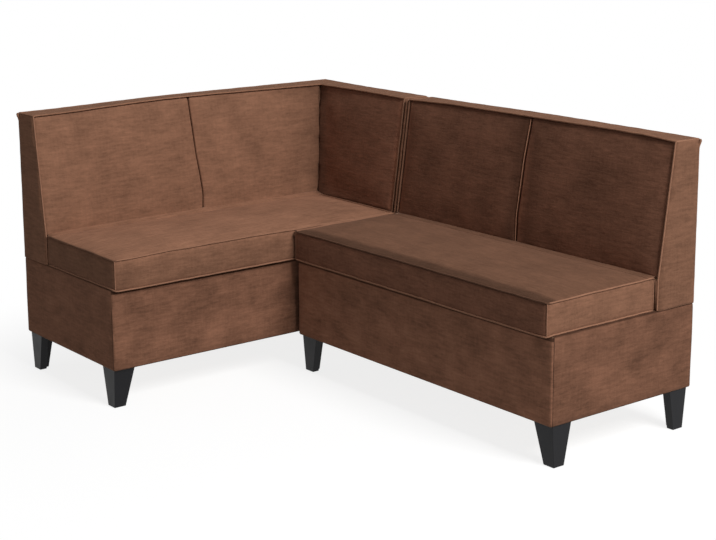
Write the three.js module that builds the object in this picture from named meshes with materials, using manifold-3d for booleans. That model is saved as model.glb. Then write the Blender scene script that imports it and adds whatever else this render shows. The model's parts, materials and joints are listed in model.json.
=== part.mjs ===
// Upholstered corner storage bench, in millimetres, +Z up.
// A corner unit with a return back stands beside a straight unit, and together they make an L.
// The corner unit's back runs along +Y's wall, the return and the straight unit's back along +X's wall.
// The origin is the middle of the floor area that the bench covers.

import * as THREE from 'three';
import { mergeVertices } from 'three/addons/utils/BufferGeometryUtils.js';
import Module from 'manifold-3d';

const wasm = await Module();
wasm.setup();

// Overall sizes
const CORNER_LENGTH = 1280;
const STRAIGHT_LENGTH = 1174;
const UNIT_DEPTH = 586;
const UNIT_GAP = 24;
const FOOT_HEIGHT = 127;
const BASE_HEIGHT = 258;
const SEAT_THICKNESS = 95;
const BACK_RISE = 396;

// Boards, covers and clearances
const COVER = 3;
const BOARD = 15;
const BOTTOM_BOARD = 12;
const RIB_BOARD = 18;
const SOFT_GAP = 0.3;

// Back rest
const BACK_DEPTH_SEAT = 158;
const BACK_DEPTH_TOP = 102;
const PAD_THICKNESS = 30;
const PAD_SWELL = 7;
const BACK_BOARD = 10;
const TOP_RAIL_HEIGHT = 18;
const HINGE_RAIL_DEPTH = 45;
const CORNER_SEAM = 600;

// Deck that carries the back and the rear edge of the lid
const DECK_LIP = 30;

// Lid and seat cushion
const LID_GAP = 2;
const LID_OVERHANG = 14;
const LID_END_INSET = 10;
const CREASE = 10;
const CUSHION_SKIRT = 8;
const CUSHION_CORNER = 14;
const SEAT_CROWN = 18;
const WELT = 4;
const LID_RAIL_DROP = 8;
const BUFFER_RADIUS = 6;
const BUFFER_FROM_END = 60;

// Piano hinge
const HINGE_BELOW_EDGE = 4;
const HINGE_END_INSET = 30;
const KNUCKLE_RADIUS = 4;
const KNUCKLE_BORE = 2;
const KNUCKLE_GAP = 0.5;
const KNUCKLE_COUNT = 7;
const PIN_RADIUS = 1.5;
const LEAF_THICKNESS = 1.5;
const LEAF_HEIGHT = 25;
const LEAF_RELIEF = 2.8;

// Corner feet
const FOOT_ARM_TOP = 74;
const FOOT_ARM_BOTTOM = 40;
const FOOT_WALL = 24;
const FOOT_FILLET = 8;
const FOOT_INSET_TOP = 12;
const FOOT_INSET_BOTTOM = 22;
const FOOT_END_INSET_TOP = 6;
const FOOT_END_INSET_BOTTOM = 8;

// Plates that tie the two units together from below
const LINK_LENGTH = 160;
const LINK_WIDTH = 40;
const LINK_THICKNESS = 3;
const LINK_FROM_SIDE = 150;

// Fineness of the round and soft shapes
const ROUND_SIDES = 12;
const CORNER_STEPS = 3;
const SIDE_STEPS = 6;
const CROWN_RINGS = 4;

// Levels and lines worked out from the sizes above
const BASE_TOP = FOOT_HEIGHT + BASE_HEIGHT;
const SEAT_EDGE = BASE_TOP + SEAT_THICKNESS;
const TOTAL_HEIGHT = SEAT_EDGE + BACK_RISE;
const PANEL_FOOT = FOOT_HEIGHT + BOTTOM_BOARD;
const TALL_TOP = TOTAL_HEIGHT - COVER;
const REAR_INNER = UNIT_DEPTH - COVER - BOARD;
const RAIL_FACE = UNIT_DEPTH - BACK_DEPTH_SEAT;
const DECK_FRONT = RAIL_FACE - DECK_LIP;
const LID_REAR = RAIL_FACE - CREASE;
const LID_BOTTOM = BASE_TOP + LID_GAP;
const LID_TOP = LID_BOTTOM + BOARD;
const LID_RAIL_TOP = SEAT_EDGE - LID_RAIL_DROP;
const HINGE_Y = RAIL_FACE - CREASE / 2;
const HINGE_Z = SEAT_EDGE - HINGE_BELOW_EDGE;
const TOP_RAIL_FOOT = TALL_TOP - TOP_RAIL_HEIGHT;

const FINISHES = {
  fabric: { color: 0x6f4d3d, roughness: 0.95, metalness: 0 },
  plywood: { color: 0xc8a878, roughness: 0.75, metalness: 0 },
  timber: { color: 0xd4b588, roughness: 0.7, metalness: 0 },
  foot: { color: 0x1c1c1f, roughness: 0.45, metalness: 0 },
  steel: { color: 0x9b9ea2, roughness: 0.35, metalness: 1 },
  rubber: { color: 0x2a2a2a, roughness: 0.9, metalness: 0 },
};

function addMesh(group, name, finish, geometry) {
  const mesh = new THREE.Mesh(geometry, new THREE.MeshStandardMaterial(FINISHES[finish]));
  mesh.name = name;
  group.add(mesh);
  return mesh;
}

function boxGeometry(x, y, z) {
  const geometry = new THREE.BoxGeometry(x[1] - x[0], y[1] - y[0], z[1] - z[0]);
  geometry.translate((x[0] + x[1]) / 2, (y[0] + y[1]) / 2, (z[0] + z[1]) / 2);
  return geometry;
}

// A closed surface through rings of equally many points, the first ring lowest when seen from outside
function ringsGeometry(rings) {
  const count = rings[0].length;
  const positions = rings.flat(2);
  const triangles = [];
  for (let level = 0; level + 1 < rings.length; level += 1) {
    for (let i = 0; i < count; i += 1) {
      const a = level * count + i;
      const b = level * count + ((i + 1) % count);
      triangles.push(a, b, b + count, a, b + count, a + count);
    }
  }
  const last = (rings.length - 1) * count;
  const capOf = (ring) => ring.map((p) => new THREE.Vector2(p[0], p[1]));
  const faces = (ring) => THREE.ShapeUtils.triangulateShape(capOf(ring), []);
  for (const [a, b, c] of faces(rings[0])) {
    triangles.push(c, b, a);
  }
  for (const [a, b, c] of faces(rings[rings.length - 1])) {
    triangles.push(last + a, last + b, last + c);
  }
  const geometry = new THREE.BufferGeometry();
  geometry.setAttribute('position', new THREE.Float32BufferAttribute(positions, 3));
  geometry.setIndex(triangles);
  return geometry;
}

// The same closed surface with every ring point moved by a mapping that keeps left and right as they are
function mappedRings(rings, map) {
  const geometry = ringsGeometry(rings);
  const position = geometry.getAttribute('position');
  for (let i = 0; i < position.count; i += 1) {
    position.setXYZ(i, ...map(position.getX(i), position.getY(i), position.getZ(i)));
  }
  return geometry;
}

function prismUp(points, z0, z1) {
  const ring = (z) => points.map(([x, y]) => [x, y, z]);
  return ringsGeometry([ring(z0), ring(z1)]);
}

// A prism along X, its section given as points [y, z] that run anticlockwise when seen from +X
function prismAlong(section, x0, x1) {
  const ring = (x) => section.map(([y, z]) => [y, z, x]);
  return mappedRings([ring(x0), ring(x1)], (y, z, x) => [x, y, z]);
}

function circle(y, z, radius) {
  const points = [];
  for (let i = 0; i < ROUND_SIDES; i += 1) {
    const angle = (i * 2 * Math.PI) / ROUND_SIDES;
    points.push([y + radius * Math.cos(angle), z + radius * Math.sin(angle)]);
  }
  return points;
}

function toSolid(geometry) {
  const bare = geometry.clone();
  bare.deleteAttribute('normal');
  bare.deleteAttribute('uv');
  const merged = mergeVertices(bare, 1e-4);
  return new wasm.Manifold(new wasm.Mesh({
    numProp: 3,
    vertProperties: new Float32Array(merged.getAttribute('position').array),
    triVerts: new Uint32Array(merged.getIndex().array),
  }));
}

function toGeometry(solid) {
  const mesh = solid.getMesh();
  const geometry = new THREE.BufferGeometry();
  geometry.setAttribute('position', new THREE.Float32BufferAttribute(mesh.vertProperties, 3));
  geometry.setIndex(Array.from(mesh.triVerts));
  return geometry;
}

// A rectangle with round corners and divided sides, drawn in from its edges by an inset
function roundedRectangle(width, height, corner, inset) {
  const radius = Math.max(corner - inset, 2);
  const x0 = inset + radius;
  const x1 = width - inset - radius;
  const y0 = inset + radius;
  const y1 = height - inset - radius;
  const centres = [[x1, y0, -90], [x1, y1, 0], [x0, y1, 90], [x0, y0, 180]];
  const points = [];
  centres.forEach(([x, y, start], side) => {
    for (let i = 0; i <= CORNER_STEPS; i += 1) {
      const angle = THREE.MathUtils.degToRad(start + (90 * i) / CORNER_STEPS);
      points.push([x + radius * Math.cos(angle), y + radius * Math.sin(angle)]);
    }
    const from = points[points.length - 1];
    const [nextX, nextY, nextStart] = centres[(side + 1) % 4];
    const nextAngle = THREE.MathUtils.degToRad(nextStart);
    const to = [nextX + radius * Math.cos(nextAngle), nextY + radius * Math.sin(nextAngle)];
    for (let i = 1; i < SIDE_STEPS; i += 1) {
      const share = i / SIDE_STEPS;
      points.push([from[0] + (to[0] - from[0]) * share, from[1] + (to[1] - from[1]) * share]);
    }
  });
  return points;
}

// Distance of the back's front face from the wall at a height above the seat edge
function backFace(z) {
  const share = (z - SEAT_EDGE) / BACK_RISE;
  return BACK_DEPTH_SEAT + (BACK_DEPTH_TOP - BACK_DEPTH_SEAT) * share;
}

function boardFace(z) {
  return backFace(z) - PAD_THICKNESS;
}

// A bar along one run of the back. Its section has points [distance from the wall, height].
// Each end is a number, or a function of the distance from the wall for a mitre.
function runBar(section, start, end) {
  const at = (limit, q) => (typeof limit === 'function' ? limit(q) : limit);
  const ring = (limit) => section.map(([q, z]) => [-q, z, at(limit, q)]);
  return mappedRings([ring(start), ring(end)], (y, z, x) => [x, y, z]);
}

// Rings of a crown that rises as a parabola from its edge to the middle: [inset, height]
function crownRings(reach, foot, rise) {
  const rings = [];
  for (let i = 1; i <= CROWN_RINGS; i += 1) {
    const way = i / (CROWN_RINGS + 0.5);
    rings.push([way * reach, foot + rise * (1 - (1 - way) ** 2)]);
  }
  return rings;
}

// Pad of the back rest: flat behind, rounded at the seams and swollen in front
function backPad(start, end) {
  const at = (limit, q) => (typeof limit === 'function' ? limit(q) : limit);
  const foot = SEAT_EDGE + SOFT_GAP;
  const height = TALL_TOP - SOFT_GAP - foot;
  const width = at(end, BACK_DEPTH_SEAT) - at(start, BACK_DEPTH_SEAT);
  const front = PAD_THICKNESS;
  const reach = Math.min(width, height) / 2;
  const levels = [
    [SOFT_GAP, SOFT_GAP],
    [SOFT_GAP, front * 0.7],
    [2, front * 0.88],
    [5, front * 0.97],
    [10, front],
    ...crownRings(reach, front, PAD_SWELL),
  ];
  const rings = levels.map(([inset, thickness]) =>
    roundedRectangle(width, height, CUSHION_CORNER, inset).map(([u, v]) => [u, v, thickness]));
  return mappedRings(rings, (u, v, thickness) => {
    const z = foot + v;
    const q = boardFace(z) + thickness;
    const x = at(start, q) + (at(end, q) - at(start, q)) * (u / width);
    return [x, -q, z];
  });
}

// Boxed seat cushion with welts top and bottom, drawn-in sides and a crown
function cushionGeometry(left, right, front, rear) {
  const width = right - left;
  const depth = rear - front;
  const edge = SEAT_EDGE;
  const middle = (LID_BOTTOM + edge) / 2;
  const reach = Math.min(width, depth) / 2;
  const levels = [
    [WELT, LID_BOTTOM],
    [0, LID_BOTTOM + WELT],
    [WELT * 0.7, LID_BOTTOM + WELT * 2],
    [WELT, middle],
    [WELT * 0.7, edge - WELT * 2],
    [0, edge - WELT],
    [WELT * 0.7, edge - WELT * 0.2],
    [WELT * 2, edge],
    ...crownRings(reach, edge, SEAT_CROWN),
  ];
  const rings = levels.map(([inset, z]) =>
    roundedRectangle(width, depth, CUSHION_CORNER, inset).map(([x, y]) => [left + x, front + y, z]));
  const panelSpace = boxGeometry(
    [left + CUSHION_SKIRT - SOFT_GAP, right - CUSHION_SKIRT + SOFT_GAP],
    [front + CUSHION_SKIRT - SOFT_GAP, rear + BOARD],
    [LID_BOTTOM - BOARD, LID_TOP + SOFT_GAP],
  );
  const railSpace = boxGeometry(
    [left + CUSHION_SKIRT - SOFT_GAP, right - CUSHION_SKIRT + SOFT_GAP],
    [rear - BOARD - SOFT_GAP, rear + BOARD],
    [LID_BOTTOM - BOARD, LID_RAIL_TOP + SOFT_GAP],
  );
  return toGeometry(toSolid(ringsGeometry(rings)).subtract(toSolid(panelSpace)).subtract(toSolid(railSpace)));
}

// One leaf of the piano hinge. side is -1 for the lid's leaf and +1 for the fixed one,
// and own says which knuckles belong to it.
function hingeLeaf(x0, x1, side, own, pinned) {
  const step = (x1 - x0) / KNUCKLE_COUNT;
  const reach = CREASE / 2;
  const near = reach - LEAF_THICKNESS;
  const plate = (from, to, topZ) => {
    const y = side > 0 ? [HINGE_Y + near, HINGE_Y + reach] : [HINGE_Y - reach, HINGE_Y - near];
    return boxGeometry([from, to], y, [HINGE_Z - LEAF_HEIGHT, topZ]);
  };
  let leaf = toSolid(plate(x0, x1, HINGE_Z - LEAF_RELIEF));
  for (let i = 0; i < KNUCKLE_COUNT; i += 1) {
    if (i % 2 !== own) {
      continue;
    }
    const from = x0 + i * step + KNUCKLE_GAP / 2;
    const to = x0 + (i + 1) * step - KNUCKLE_GAP / 2;
    const barrel = prismAlong(circle(HINGE_Y, HINGE_Z, KNUCKLE_RADIUS), from, to);
    leaf = leaf.add(toSolid(barrel)).add(toSolid(plate(from, to, HINGE_Z)));
  }
  if (pinned) {
    const pin = prismAlong(circle(HINGE_Y, HINGE_Z, PIN_RADIUS), x0, x1);
    return toGeometry(leaf.add(toSolid(pin)));
  }
  const bore = prismAlong(circle(HINGE_Y, HINGE_Z, KNUCKLE_BORE), x0 - step, x1 + step);
  return toGeometry(leaf.subtract(toSolid(bore)));
}

// Corner foot: two tapered arms that meet at the outer corner. towardX and towardY point inward.
function footGeometry(x, y, towardX, towardY) {
  const ring = (endInset, inset, arm, z) => {
    const cornerX = x + towardX * endInset;
    const cornerY = y + towardY * inset;
    const points = [
      [0, 0],
      [arm, 0],
      [arm, FOOT_WALL],
      [FOOT_WALL + FOOT_FILLET, FOOT_WALL],
      [FOOT_WALL, FOOT_WALL + FOOT_FILLET],
      [FOOT_WALL, arm],
      [0, arm],
    ].map(([u, v]) => [cornerX + towardX * u, cornerY + towardY * v, z]);
    return towardX * towardY > 0 ? points : points.reverse();
  };
  return ringsGeometry([
    ring(FOOT_END_INSET_BOTTOM, FOOT_INSET_BOTTOM, FOOT_ARM_BOTTOM, 0),
    ring(FOOT_END_INSET_TOP, FOOT_INSET_TOP, FOOT_ARM_TOP, FOOT_HEIGHT),
  ]);
}

// Fabric skin of the back: rear, ends and top, open in front and below.
// Each run is a bar with the outline of the whole back, already in the unit's own frame.
function backSkin(runs, length) {
  const whole = runs.map(toSolid).reduce((sum, run) => sum.add(run));
  const inside = boxGeometry(
    [COVER, length - COVER],
    [COVER, UNIT_DEPTH - COVER],
    [BASE_TOP - BOARD, TALL_TOP],
  );
  const open = boxGeometry([COVER, length - COVER], [-UNIT_DEPTH, COVER * 2], [BASE_TOP - BOARD, TALL_TOP]);
  const hollow = runs.length > 1 ? toSolid(inside) : toSolid(inside).add(toSolid(open));
  return toGeometry(whole.subtract(hollow));
}

function addBase(unit, name, length, rightWall) {
  const rightInner = length - COVER - BOARD;
  const wallEnd = rightWall ? rightInner : length - COVER;
  const low = [PANEL_FOOT, BASE_TOP];
  const tall = [PANEL_FOOT, TALL_TOP];
  const between = [COVER + BOARD, REAR_INNER];
  addMesh(unit, `${name}_bottom_panel`, 'plywood', boxGeometry(
    [COVER, length - COVER],
    [COVER, UNIT_DEPTH - COVER],
    [FOOT_HEIGHT, PANEL_FOOT],
  ));
  addMesh(unit, `${name}_front_panel`, 'plywood', boxGeometry([COVER, wallEnd], [COVER, COVER + BOARD], low));
  addMesh(unit, `${name}_left_panel`, 'plywood', boxGeometry([COVER, COVER + BOARD], between, low));
  addMesh(unit, `${name}_rear_panel`, 'plywood', boxGeometry(
    [COVER, wallEnd],
    [REAR_INNER, REAR_INNER + BOARD],
    tall,
  ));
  if (rightWall) {
    const depth = [COVER, UNIT_DEPTH - COVER];
    addMesh(unit, `${name}_return_panel`, 'plywood', boxGeometry([rightInner, length - COVER], depth, tall));
  } else {
    addMesh(unit, `${name}_right_panel`, 'plywood', boxGeometry([rightInner, length - COVER], between, low));
  }

  const deck = [[COVER + BOARD, DECK_FRONT]];
  if (rightWall) {
    const stripLeft = length - BACK_DEPTH_SEAT - DECK_LIP;
    deck.push([stripLeft, DECK_FRONT], [stripLeft, COVER + BOARD], [rightInner, COVER + BOARD]);
  } else {
    deck.push([rightInner, DECK_FRONT]);
  }
  deck.push([rightInner, REAR_INNER], [COVER + BOARD, REAR_INNER]);
  addMesh(unit, `${name}_deck_panel`, 'plywood', prismUp(deck, BASE_TOP - BOARD, BASE_TOP));

  const outer = boxGeometry([0, length], [0, UNIT_DEPTH], [FOOT_HEIGHT, BASE_TOP]);
  const inner = boxGeometry(
    [COVER, length - COVER],
    [COVER, UNIT_DEPTH - COVER],
    [FOOT_HEIGHT - BOARD, BASE_TOP + BOARD],
  );
  addMesh(unit, `${name}_base_cover`, 'fabric', toGeometry(toSolid(outer).subtract(toSolid(inner))));

  const corners = {
    front_left: [0, 0, 1, 1],
    front_right: [length, 0, -1, 1],
    rear_left: [0, UNIT_DEPTH, 1, -1],
    rear_right: [length, UNIT_DEPTH, -1, -1],
  };
  for (const [place, [x, y, towardX, towardY]] of Object.entries(corners)) {
    addMesh(unit, `${name}_foot_${place}`, 'foot', footGeometry(x, y, towardX, towardY));
  }
}

function addLid(unit, name, length, rightWall) {
  const left = LID_END_INSET;
  const right = length - (rightWall ? BACK_DEPTH_SEAT + CREASE : LID_END_INSET);
  const panelX = [left + CUSHION_SKIRT, right - CUSHION_SKIRT];
  addMesh(unit, `${name}_lid_panel`, 'plywood', boxGeometry(
    panelX,
    [CUSHION_SKIRT - LID_OVERHANG, LID_REAR],
    [LID_BOTTOM, LID_TOP],
  ));
  addMesh(unit, `${name}_lid_rail`, 'timber', boxGeometry(
    panelX,
    [LID_REAR - BOARD, LID_REAR],
    [LID_TOP, LID_RAIL_TOP],
  ));
  addMesh(unit, `${name}_seat_cushion`, 'fabric', cushionGeometry(left, right, -LID_OVERHANG, LID_REAR));

  const hingeX = [left + HINGE_END_INSET, right - HINGE_END_INSET];
  addMesh(unit, `${name}_hinge_lid_leaf`, 'steel', hingeLeaf(...hingeX, -1, 1, false));
  addMesh(unit, `${name}_hinge_fixed_leaf`, 'steel', hingeLeaf(...hingeX, 1, 0, true));

  const bufferHeight = LID_GAP - SOFT_GAP;
  const buffers = { left: left + BUFFER_FROM_END, right: right - BUFFER_FROM_END };
  for (const [side, x] of Object.entries(buffers)) {
    const disc = new THREE.CylinderGeometry(BUFFER_RADIUS, BUFFER_RADIUS, bufferHeight, ROUND_SIDES);
    const buffer = addMesh(unit, `${name}_lid_buffer_${side}`, 'rubber', disc);
    buffer.rotation.x = Math.PI / 2;
    buffer.position.set(x, COVER + BOARD / 2, BASE_TOP + bufferHeight / 2);
  }
}

const railSection = [
  [BACK_DEPTH_SEAT - HINGE_RAIL_DEPTH, BASE_TOP],
  [BACK_DEPTH_SEAT - HINGE_RAIL_DEPTH, SEAT_EDGE],
  [BACK_DEPTH_SEAT, SEAT_EDGE],
  [BACK_DEPTH_SEAT, BASE_TOP],
];
const boardSection = [
  [boardFace(SEAT_EDGE) - BACK_BOARD, SEAT_EDGE],
  [boardFace(TOP_RAIL_FOOT) - BACK_BOARD, TOP_RAIL_FOOT],
  [boardFace(TOP_RAIL_FOOT), TOP_RAIL_FOOT],
  [boardFace(SEAT_EDGE), SEAT_EDGE],
];
const topRailSection = [
  [COVER + BOARD, TOP_RAIL_FOOT],
  [COVER + BOARD, TALL_TOP],
  [boardFace(TALL_TOP), TALL_TOP],
  [boardFace(TOP_RAIL_FOOT), TOP_RAIL_FOOT],
];
const ribSection = [
  [COVER + BOARD, BASE_TOP],
  [COVER + BOARD, TOP_RAIL_FOOT],
  [boardFace(TOP_RAIL_FOOT) - BACK_BOARD - SOFT_GAP, TOP_RAIL_FOOT],
  [boardFace(SEAT_EDGE) - BACK_BOARD - SOFT_GAP, SEAT_EDGE],
  [BACK_DEPTH_SEAT - HINGE_RAIL_DEPTH, SEAT_EDGE],
  [BACK_DEPTH_SEAT - HINGE_RAIL_DEPTH, BASE_TOP],
];
const skinSection = [
  [0, BASE_TOP],
  [0, TOTAL_HEIGHT],
  [BACK_DEPTH_TOP, TOTAL_HEIGHT],
  [BACK_DEPTH_SEAT, SEAT_EDGE],
  [BACK_DEPTH_SEAT, BASE_TOP],
];

// One run of the back, in its own frame: X along the wall, the wall at Y = 0 and the seat toward -Y
function backRun(x, y, turned) {
  const run = new THREE.Group();
  run.position.set(x, y, 0);
  run.rotation.z = turned ? -Math.PI / 2 : 0;
  run.updateMatrix();
  return run;
}

function addRibs(run, name, places) {
  for (const [place, x] of Object.entries(places)) {
    addMesh(run, `${name}_rib_${place}`, 'plywood', runBar(ribSection, x, x + RIB_BOARD));
  }
}

function addBack(unit, name, length, rightWall) {
  const run = backRun(0, UNIT_DEPTH, false);
  unit.add(run);
  const seam = rightWall ? CORNER_SEAM : length / 2;
  const mitre = (gap) => (q) => length - q - gap;
  const boardEnd = rightWall ? mitre(SOFT_GAP) : length - COVER;
  const railEnd = rightWall ? length - BACK_DEPTH_SEAT + HINGE_RAIL_DEPTH : length - COVER;
  const padEnd = rightWall ? mitre(SOFT_GAP) : length - COVER;
  addMesh(run, `${name}_hinge_rail`, 'timber', runBar(railSection, COVER, railEnd));
  addMesh(run, `${name}_back_board`, 'plywood', runBar(boardSection, COVER, boardEnd));
  addMesh(run, `${name}_back_pad_left`, 'fabric', backPad(COVER, seam));
  addMesh(run, `${name}_back_pad_right`, 'fabric', backPad(seam, padEnd));
  const ribs = { left: COVER, middle: seam - RIB_BOARD / 2 };
  if (!rightWall) {
    ribs.right = length - COVER - RIB_BOARD;
  }
  addRibs(run, `${name}_back`, ribs);

  const skin = runBar(skinSection, 0, length).applyMatrix4(run.matrix);
  const topRail = runBar(topRailSection, COVER, length - (rightWall ? COVER + BOARD : COVER));
  if (!rightWall) {
    addMesh(run, `${name}_back_top_rail`, 'timber', topRail);
    addMesh(unit, `${name}_back_cover`, 'fabric', backSkin([skin], length));
    return;
  }

  const side = backRun(length, UNIT_DEPTH, true);
  unit.add(side);
  const sideEnd = UNIT_DEPTH - COVER;
  const sideStart = (q) => q + SOFT_GAP;
  addMesh(side, `${name}_return_rail`, 'timber', runBar(railSection, BACK_DEPTH_SEAT, sideEnd));
  addMesh(side, `${name}_return_board`, 'plywood', runBar(boardSection, sideStart, sideEnd));
  addMesh(side, `${name}_return_pad`, 'fabric', backPad(sideStart, sideEnd));
  addRibs(side, `${name}_return`, { end: sideEnd - RIB_BOARD });
  const sideRail = runBar(topRailSection, COVER + BOARD, sideEnd).applyMatrix4(side.matrix);
  const wholeRail = toSolid(topRail.applyMatrix4(run.matrix)).add(toSolid(sideRail));
  addMesh(unit, `${name}_back_top_rail`, 'timber', toGeometry(wholeRail));
  const sideSkin = runBar(skinSection, 0, UNIT_DEPTH).applyMatrix4(side.matrix);
  addMesh(unit, `${name}_back_cover`, 'fabric', backSkin([skin, sideSkin], length));
}

// A unit in its own frame: X from its left end to its right, Y from its front to the wall
function buildUnit(name, length, rightWall) {
  const unit = new THREE.Group();
  addBase(unit, name, length, rightWall);
  addLid(unit, name, length, rightWall);
  addBack(unit, name, length, rightWall);
  return unit;
}

const TOTAL_DEPTH = UNIT_DEPTH + UNIT_GAP + STRAIGHT_LENGTH;
const CORNER_FRONT = TOTAL_DEPTH / 2 - UNIT_DEPTH;
const STRAIGHT_START = CORNER_FRONT - UNIT_GAP;

const bench = new THREE.Group();
bench.name = 'corner_storage_bench';

const cornerUnit = buildUnit('corner', CORNER_LENGTH, true);
cornerUnit.position.set(-CORNER_LENGTH / 2, CORNER_FRONT, 0);
bench.add(cornerUnit);

const straightUnit = buildUnit('straight', STRAIGHT_LENGTH, false);
straightUnit.rotation.z = -Math.PI / 2;
straightUnit.position.set(CORNER_LENGTH / 2 - UNIT_DEPTH, STRAIGHT_START, 0);
bench.add(straightUnit);

const linkMiddle = CORNER_FRONT - UNIT_GAP / 2;
const linkPlaces = {
  front: CORNER_LENGTH / 2 - UNIT_DEPTH + LINK_FROM_SIDE,
  rear: CORNER_LENGTH / 2 - LINK_FROM_SIDE,
};
for (const [place, x] of Object.entries(linkPlaces)) {
  addMesh(bench, `link_plate_${place}`, 'steel', boxGeometry(
    [x - LINK_WIDTH / 2, x + LINK_WIDTH / 2],
    [linkMiddle - LINK_LENGTH / 2, linkMiddle + LINK_LENGTH / 2],
    [FOOT_HEIGHT - LINK_THICKNESS, FOOT_HEIGHT],
  ));
}

export default bench;
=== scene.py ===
"""Upholstery, boards, hinges and feet of a corner storage bench, dressed for its photograph.

Lengths are in metres. A unit is made in its own frame and then put in place: x along its length from
the left end, y across its depth from the front edge of the base, z up from the floor.
"""

import json
import math

import bmesh
import bpy
import numpy as np
from mathutils import Matrix, Vector, noise


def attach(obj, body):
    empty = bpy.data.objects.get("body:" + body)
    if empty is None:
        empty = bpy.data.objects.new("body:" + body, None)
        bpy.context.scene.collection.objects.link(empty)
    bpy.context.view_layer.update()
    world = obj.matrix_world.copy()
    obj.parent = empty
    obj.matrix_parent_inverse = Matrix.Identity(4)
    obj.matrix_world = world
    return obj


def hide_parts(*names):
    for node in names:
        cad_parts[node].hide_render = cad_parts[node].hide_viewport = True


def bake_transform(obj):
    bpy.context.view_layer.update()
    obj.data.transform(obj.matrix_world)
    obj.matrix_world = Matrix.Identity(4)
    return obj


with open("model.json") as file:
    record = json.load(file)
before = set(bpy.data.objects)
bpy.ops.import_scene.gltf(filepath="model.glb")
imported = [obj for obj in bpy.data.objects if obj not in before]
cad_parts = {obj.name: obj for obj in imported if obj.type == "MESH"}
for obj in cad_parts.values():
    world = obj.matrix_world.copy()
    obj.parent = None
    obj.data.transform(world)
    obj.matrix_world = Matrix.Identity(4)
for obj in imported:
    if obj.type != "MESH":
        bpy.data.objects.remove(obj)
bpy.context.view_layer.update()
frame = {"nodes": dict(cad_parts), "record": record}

# Main sizes of the bench
CORNER_LENGTH = 1.280
STRAIGHT_LENGTH = 1.174
UNIT_DEPTH = 0.586
UNDERSIDE = 0.127
BASE_TOP = 0.385
SEAT_EDGE = 0.480
BACK_TOP = 0.876
BACK_DEPTH_SEAT = 0.158
BACK_DEPTH_TOP = 0.102
RAIL_FRONT = UNIT_DEPTH - BACK_DEPTH_SEAT
COVER = 0.003
WALL_X = 0.640
WALL_Y = 0.892
STRAIGHT_LEFT = 0.282
STRAIGHT_RIGHT = -0.892
GAP_MIDDLE = 0.294
CORNER_SEAM = 0.600
STRAIGHT_SEAM = STRAIGHT_LENGTH / 2
# Points this near to a face or an edge count as lying on it
NEAR = 0.001

# Where each unit stands: the corner unit, the straight unit, and the corner unit's return back
CORNER = Matrix.Translation((-WALL_X, WALL_Y - UNIT_DEPTH, 0))
QUARTER_TURN = Matrix.Rotation(-math.pi / 2, 4, "Z")
STRAIGHT = Matrix.Translation((WALL_X - UNIT_DEPTH, STRAIGHT_LEFT, 0)) @ QUARTER_TURN
RETURN = Matrix.Translation((WALL_X - UNIT_DEPTH, WALL_Y, 0)) @ QUARTER_TURN

# Seat cushions
SEAT_FRONT = -0.014
SEAT_REAR = 0.418
SEAT_UNDER = 0.387
SEAT_CORNER = 0.012
REAR_CORNER = 0.004
SEAT_CROWN = 0.018
SEAT_PRESSURE = 4.0
SEAT_SEWN = 0.97
REAR_RISE = 0.005
OVERHANG_DEPTH = 0.016
LOW_WAVE = 0.02
END_INSET = 0.010
SKIRT = 0.008
LID_BOARD = 0.015
LID_RAIL_TOP = 0.472
SLOT_PLAY = 0.0003
SLOT_PAST = 0.02
# The rear edge slopes down under the crease cloth, from a place across the seat and a little off the ends
REAR_SLOPE = 0.006
SLOPE_FROM = 0.399
SLOPE_INSET = 0.008
SLOPE_RUN = 0.012
# How far a rim's welt lies above it, at the front and sides and at the rear, and how far the rim tucks down
RIM_ROW = 0.005
RIM_TUCK = 0.0022
RIMS = {"top": (0.0004, -0.0022, RIM_TUCK), "bottom": (0.0014, 0.0014, -0.4 * RIM_TUCK)}
WELT_OUT = 0.0004
# Painted shade on the seat welts that lie in the crease
CREASE_WELT_SHADE = 0.62
# How far the filling lifts the front top edge, and the front bottom edge hangs: metres along, then metres
CORNER_RISE = ((0, 0.10, 0.22, 0.45, 0.69, 1.12), (0.0020, 0.0030, 0.0060, 0.0060, 0.0045, 0.0040))
CORNER_DROP = ((0, 0.01, 1.12), (0.0028, 0.0034, 0.0034))
STRAIGHT_RISE = ((0, 0.10, 0.80, 1.17), (0.0010, 0.0028, 0.0030, 0.0016))
STRAIGHT_DROP = ((0, 0.30, 0.80, 1.17), (0.0008, 0.0008, 0.0028, 0.0034))

# The cloth over the hinges, and how high it reaches at the pads: metres along, then its level
CREASE = 0.010
FLAP_REACH = 0.032
FLAP_THICKNESS = 0.0010
CORNER_FLAP = ((0, 0.08, 0.30, 0.80, 1.10), (0.4880, 0.4920, 0.4960, 0.4960, 0.4920))
STRAIGHT_FLAP = ((0, 0.10, 1.10, 1.17), (0.4860, 0.4875, 0.4875, 0.4860))

# Cloth strips over the front of the rails
STRIP_FRONT = RAIL_FRONT - 0.0015
STRIP_REAR = RAIL_FRONT - 0.0001
STRIP_STEP = 0.0001
CORNER_TURN_IN = 0.038
END_TURN_IN = 0.027

# Back pads
PAD_THICKNESS = 0.030
PAD_FOOT = 0.4795
PAD_ROUND = 0.009
PAD_PRESSURE = 3.0
PAD_SEWN = 0.96
PAD_SWELL = 0.010
SEAM_GAP = 0.0016
MITRE_PRESS = 0.0010
PRESSED_FOOT = 0.0020
PRESSED_HEIGHT = 0.03
# How far each back's middle seam is sewn off its place: heights, then metres, and how far the cloth follows
LEAN_REACH = 0.45
CORNER_LEAN = (
    (0.480, 0.504, 0.539, 0.609, 0.679, 0.749, 0.854, 0.876),
    (0.019, 0.021, 0.027, 0.0226, 0.0137, 0.0094, 0.0030, 0.0020),
)
STRAIGHT_LEAN = (
    (0.480, 0.506, 0.568, 0.662, 0.756, 0.849, 0.876),
    (-0.002, -0.005, -0.012, -0.009, -0.006, 0.003, 0.004),
)

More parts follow.
